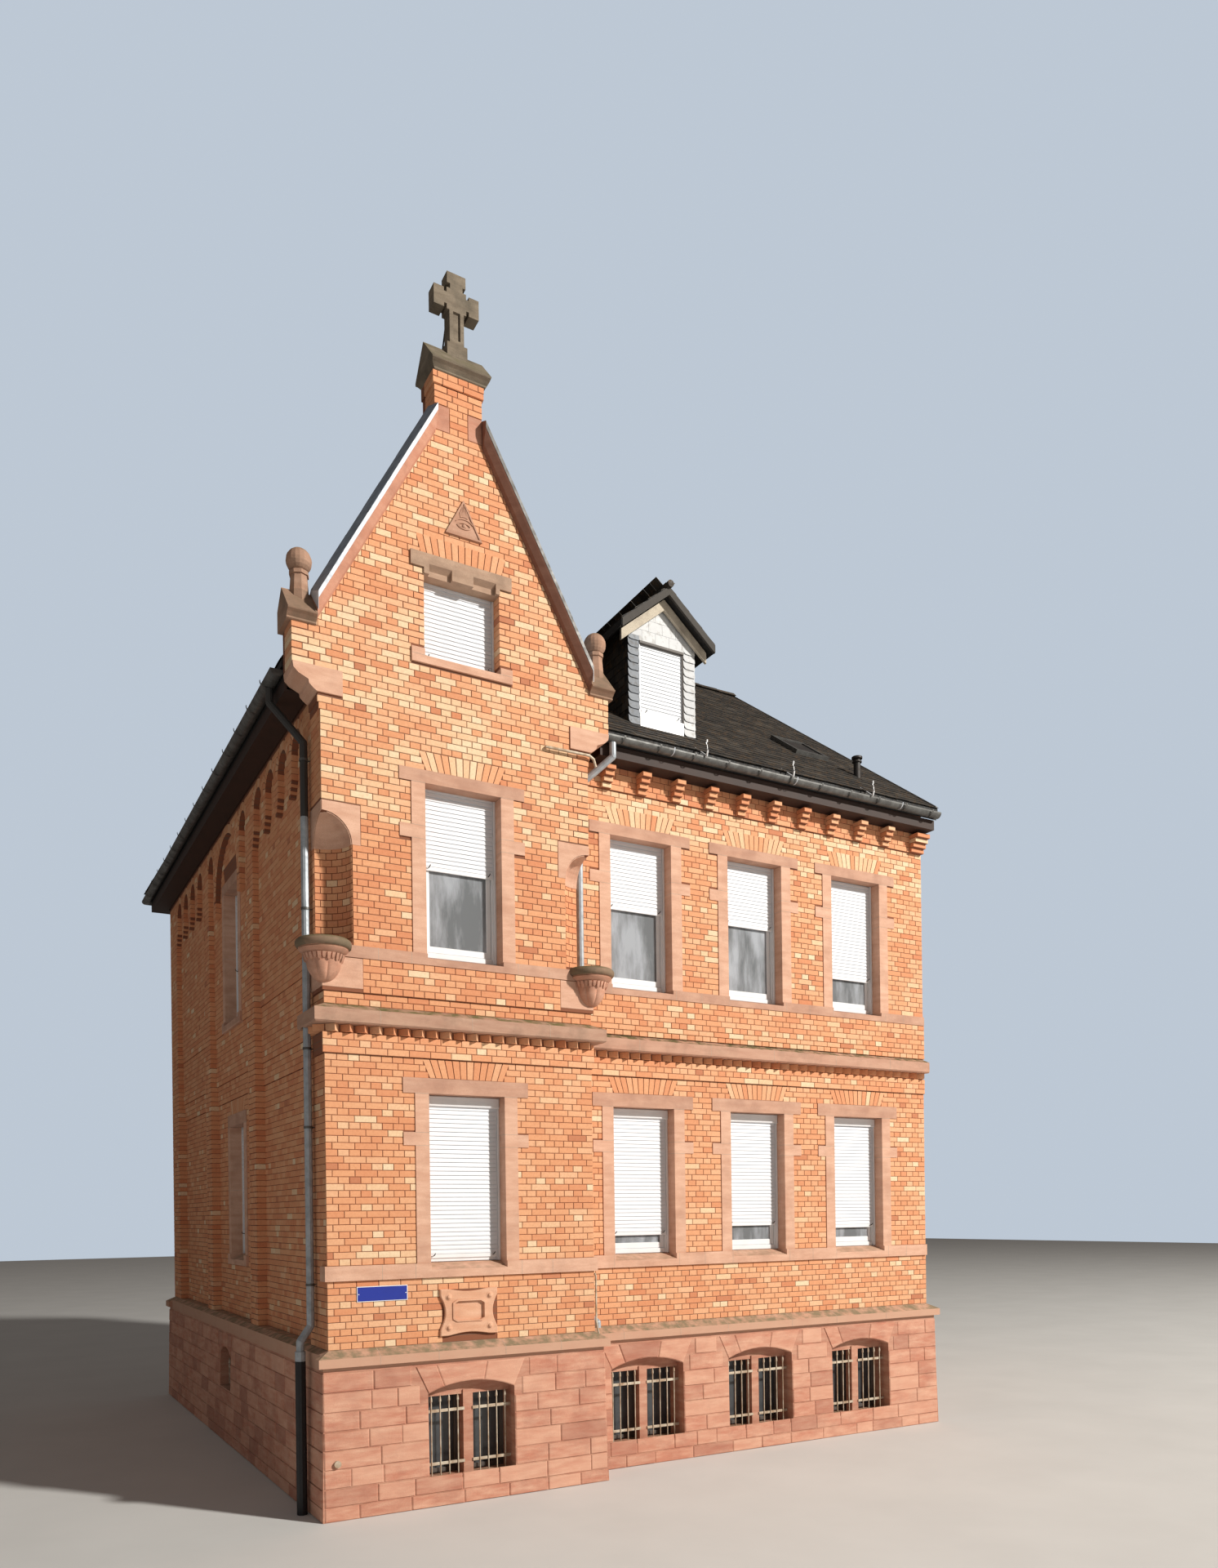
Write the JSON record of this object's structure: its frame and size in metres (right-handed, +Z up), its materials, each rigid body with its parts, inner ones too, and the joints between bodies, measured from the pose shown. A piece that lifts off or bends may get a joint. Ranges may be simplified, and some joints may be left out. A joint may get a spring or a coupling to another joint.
{
  "type": "brick house",
  "caption": "Old brick house with a steep gabled street bay, sandstone window surrounds, slate roof, dormer, corner niches and a stone cross on the gable",
  "frame": {"origin": "Middle of the footprint, on the underside of the cellar floor at the lowest ground level", "axes": "+X right along the street front seen from the street, +Y back from the street, +Z up"},
  "size_m": [10.3563, 11.2183, 14.7],
  "materials": {
    "brick": "matte",
    "sandstone": "matte",
    "cap_stone": "matte",
    "plinth_stone": "matte",
    "slate": "satin",
    "eave_timber": "matte",
    "zinc": "satin",
    "window_white": "satin",
    "floor_slab": "matte"
  },
  "bodies": {
    "root": {"bay_wall_ground": "brick", "bay_wall_upper": "brick", "bay_gable": "brick", "main_front_wall": "brick", "left_wall": "brick", "back_wall": "brick", "right_wall": "brick", "plinth_bay": "plinth_stone", "plinth_main_front": "plinth_stone", "plinth_rear": "plinth_stone", "string_course_bay": "cap_stone", "string_course_main": "cap_stone", "stone_bay_ground": "sandstone", "stone_bay_upper": "sandstone", "stone_main_ground": "sandstone", "stone_main_upper": "sandstone", "stone_left_ground": "sandstone", "stone_left_upper": "sandstone", "attic_sill": "sandstone", "attic_lintel": "sandstone", "window_bay_ground": "window_white", "window_bay_upper": "window_white", "window_bay_attic": "window_white", "windows_main_ground": "window_white", "windows_main_upper": "window_white", "window_left_ground": "window_white", "window_left_upper": "window_white", "windows_back_ground": "window_white", "windows_back_upper": "window_white", "windows_right_ground": "window_white", "windows_right_upper": "window_white", "dormer_window": "window_white", "dormer_walls": "slate", "dormer_roof": "slate", "roof_main_front": "slate", "roof_main_back": "slate", "roof_wing_left": "slate", "roof_wing_right": "slate", "eave_front": "eave_timber", "eave_rear": "eave_timber", "gutter_front": "zinc", "gutter_left": "zinc", "gutter_back": "zinc", "downpipe_left": "zinc", "downpipe_front": "zinc", "coping_left": "cap_stone", "coping_right": "cap_stone", "kneeler_block_left": "sandstone", "kneeler_block_right": "sandstone", "kneeler_cap_left": "cap_stone", "kneeler_cap_right": "cap_stone", "pedestal_cap": "cap_stone", "gable_cross": "cap_stone", "bowl_left": "sandstone", "bowl_right": "sandstone", "floor_cellar": "floor_slab", "floor_ground": "floor_slab", "floor_upper": "floor_slab", "floor_attic": "floor_slab"}
  },
  "joints": []
}
